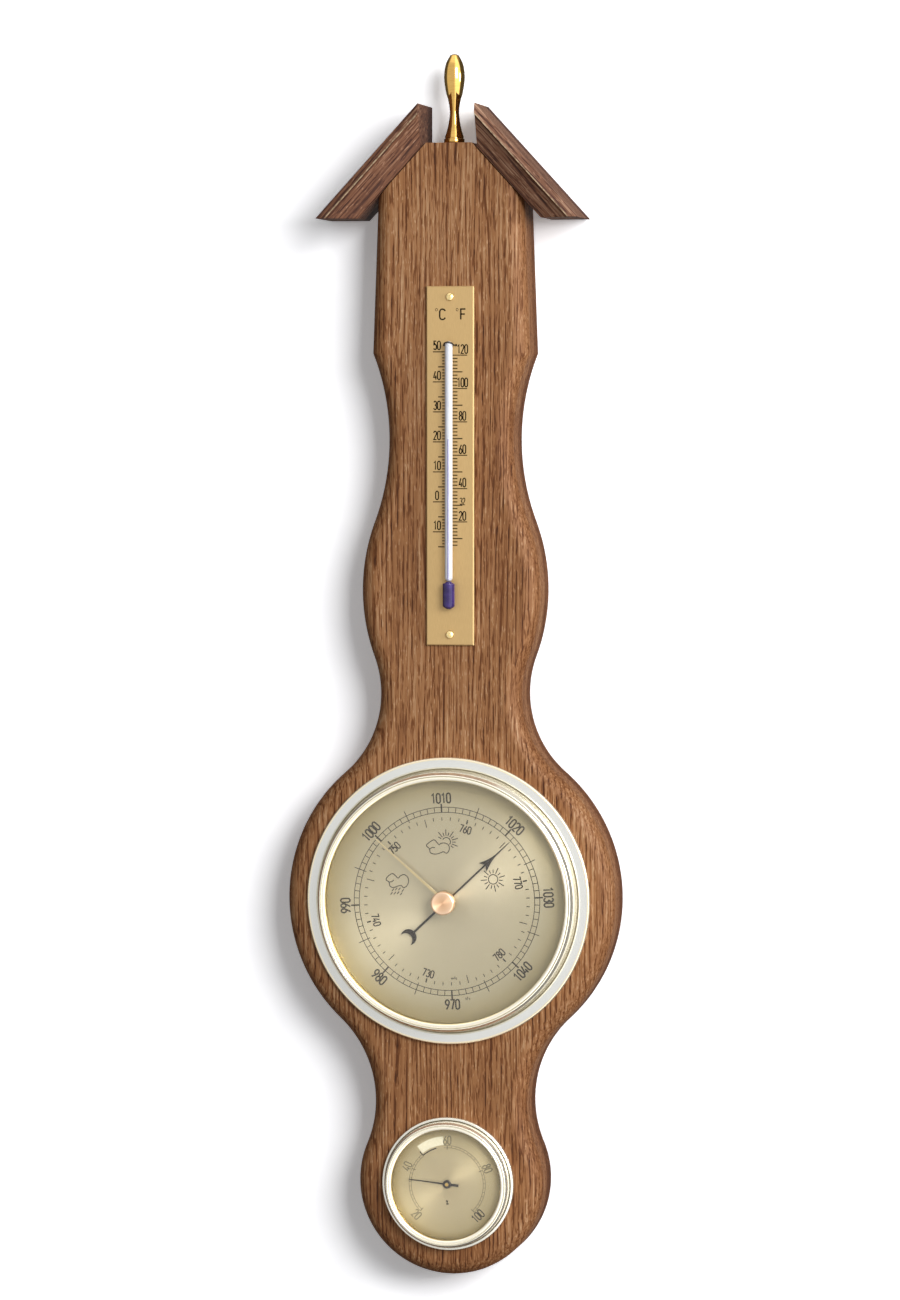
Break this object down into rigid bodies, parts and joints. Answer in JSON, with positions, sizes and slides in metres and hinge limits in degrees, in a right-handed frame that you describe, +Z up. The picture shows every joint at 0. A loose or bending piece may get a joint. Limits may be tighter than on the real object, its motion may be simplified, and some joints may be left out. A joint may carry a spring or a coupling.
{
  "type": "wall weather station",
  "caption": "Routed oak wall board under a small gable roof, carrying a spirit thermometer, an aneroid barometer and a coil hygrometer.",
  "frame": {"origin": "on the wall plane (the board's flat back), on the centre line, about halfway up the object", "axes": "+Z up along the board, +Y into the wall, -Y the side that is read, +X to the reader's right"},
  "size_m": [0.119, 0.0341, 0.4369],
  "materials": {
    "oak": "stained, satin varnish",
    "polished_brass": "turned and lacquered",
    "satin_brass": "brushed sheet",
    "bezel_brass": "spun, gold and silver tone",
    "dial_metal": "gold-tone anodised",
    "copper_tone": "spun, copper tone",
    "steel": "bright",
    "black_paint": "semi-gloss",
    "clear_glass": "clear",
    "tube_glass": "white-backed glass, opaque to the eye",
    "spirit": "blue spirit in a glass bulb"
  },
  "bodies": {
    "frame": {"board": "oak", "roof_strip_right": "oak", "roof_strip_left": "oak", "finial": "polished_brass", "plate_screw_top": "polished_brass", "plate_screw_bottom": "polished_brass", "hairspring": "polished_brass", "pillar_1": "polished_brass", "pillar_2": "polished_brass", "pillar_3": "polished_brass", "knob_washer": "polished_brass", "thermometer_plate": "satin_brass", "aneroid_capsule": "satin_brass", "movement_plate": "satin_brass", "movement_bridge": "satin_brass", "hygrometer_bridge": "satin_brass", "hanger_plate": "satin_brass", "barometer_bezel": "bezel_brass", "hygrometer_bezel": "bezel_brass", "barometer_dial": "dial_metal", "barometer_spacer": "dial_metal", "hygrometer_dial": "dial_metal", "hygrometer_spacer": "dial_metal", "thermometer_clip": "steel", "barometer_case": "steel", "base_plate": "steel", "main_spring": "steel", "bridge_screw_1": "steel", "bridge_screw_2": "steel", "bridge_screw_3": "steel", "base_screw_1": "steel", "base_screw_2": "steel", "hygrometer_case": "steel", "hanger_screw_top": "steel", "hanger_screw_bottom": "steel", "barometer_glass": "clear_glass", "hygrometer_glass": "clear_glass", "thermometer_tube": "tube_glass", "thermometer_bulb": "spirit"},
    "pointer_train": {"pointer": "black_paint", "pinion_arbor": "steel", "hairspring_collet": "polished_brass"},
    "sector": {"sector_gear": "polished_brass"},
    "rocker": {"rocking_bar": "steel"},
    "capsule_top": {"capsule_post": "steel"},
    "set_hand": {"set_hand": "polished_brass", "set_knob": "copper_tone"},
    "calibration": {"calibration_screw": "polished_brass"},
    "hygrometer_trim": {"hygrometer_adjuster": "polished_brass", "hygroscopic_coil": "satin_brass"},
    "hygrometer_hand": {"hygrometer_pointer": "black_paint", "hygrometer_arbor": "steel"}
  },
  "joints": [
    {"name": "pointer_spin", "type": "hinge", "parent": "frame", "child": "pointer_train", "pos_m": [0, -0.022, -0.085], "axis": [0, 1, 0], "range_deg": [-230.2, 85.4]},
    {"name": "sector_swing", "type": "hinge", "parent": "frame", "child": "sector", "pos_m": [0, -0.022, -0.112], "axis": [0, 1, 0], "range_deg": [-10.64, 28.74]},
    {"name": "rocker_tilt", "type": "hinge", "parent": "frame", "child": "rocker", "pos_m": [0, -0.0135, -0.085], "axis": [0, 0, 1], "range_deg": [-14.4, 5.35]},
    {"name": "capsule_lift", "type": "slide", "parent": "frame", "child": "capsule_top", "axis": [0, 1, 0], "range_m": [-0.000503, 0.000187]},
    {"name": "set_hand_turn", "type": "hinge", "parent": "frame", "child": "set_hand", "pos_m": [0, -0.022, -0.085], "axis": [0, 1, 0], "continuous": true},
    {"name": "calibration_turn", "type": "hinge", "parent": "frame", "child": "calibration", "pos_m": [-0.03, -0.022, -0.099], "axis": [0, 1, 0], "range_deg": [-720, 720]},
    {"name": "hygrometer_adjust", "type": "hinge", "parent": "frame", "child": "hygrometer_trim", "pos_m": [0, -0.022, -0.1865], "axis": [0, 1, 0], "range_deg": [-45, 45]},
    {"name": "hygrometer_swing", "type": "hinge", "parent": "hygrometer_trim", "child": "hygrometer_hand", "pos_m": [0, -0.022, -0.1865], "axis": [0, 1, 0], "range_deg": [-51, 219]}
  ],
  "couplings": [
    {"joint": "pointer_spin", "follows": "sector_swing", "ratio": -8},
    {"joint": "rocker_tilt", "follows": "sector_swing", "ratio": -0.5},
    {"joint": "capsule_lift", "follows": "sector_swing", "m_per_rad": -0.001}
  ]
}
